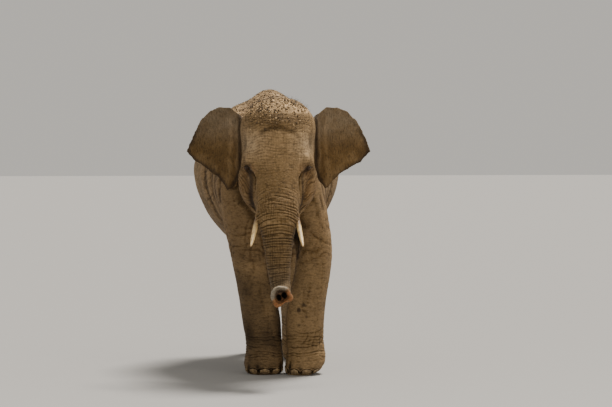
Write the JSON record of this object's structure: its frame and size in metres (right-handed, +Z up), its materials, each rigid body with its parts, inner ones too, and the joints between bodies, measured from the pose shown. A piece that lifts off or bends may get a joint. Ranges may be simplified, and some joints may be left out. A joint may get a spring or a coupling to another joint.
{
  "type": "asian elephant",
  "caption": "Life-size still model of a young male Asian elephant walking slowly, with head low, ears half open, short tusks and the trunk's tip turned forward.",
  "frame": {"origin": "centre of the bounding box's bottom face, on the floor", "axes": "+Y from head to tail, so the animal faces -Y; +X its left side; +Z up"},
  "size_m": [1.5282, 3.0634, 2.452],
  "materials": {
    "hide": "dry dusty wrinkled skin, matt",
    "nail": "worn horn, satin",
    "ivory": "ivory, satin, stained at the root",
    "eye": "wet brown eyeball",
    "hair": "coarse dark hair"
  },
  "bodies": {
    "root": {"barrel": "hide", "ear_left": "hide", "ear_right": "hide", "eye_left": "eye", "eye_right": "eye", "foot_fore_left": "hide", "foot_fore_right": "hide", "foot_hind_left": "hide", "foot_hind_right": "hide", "forequarters": "hide", "head": "hide", "hindquarters": "hide", "jaw": "hide", "leg_fore_left_lower": "hide", "leg_fore_left_upper": "hide", "leg_fore_right_lower": "hide", "leg_fore_right_upper": "hide", "leg_hind_left_lower": "hide", "leg_hind_left_upper": "hide", "leg_hind_right_lower": "hide", "leg_hind_right_upper": "hide", "nail_fore_left_1": "nail", "nail_fore_left_2": "nail", "nail_fore_left_3": "nail", "nail_fore_left_4": "nail", "nail_fore_left_5": "nail", "nail_fore_right_1": "nail", "nail_fore_right_2": "nail", "nail_fore_right_3": "nail", "nail_fore_right_4": "nail", "nail_fore_right_5": "nail", "nail_hind_left_1": "nail", "nail_hind_left_2": "nail", "nail_hind_left_3": "nail", "nail_hind_left_4": "nail", "nail_hind_right_1": "nail", "nail_hind_right_2": "nail", "nail_hind_right_3": "nail", "nail_hind_right_4": "nail", "neck": "hide", "tail_1": "hide", "tail_2": "hide", "tail_tuft": "hair", "trunk_1": "hide", "trunk_2": "hide", "trunk_3": "hide", "trunk_4": "hide", "trunk_tip": "hide", "tusk_left": "ivory", "tusk_right": "ivory"}
  },
  "joints": []
}
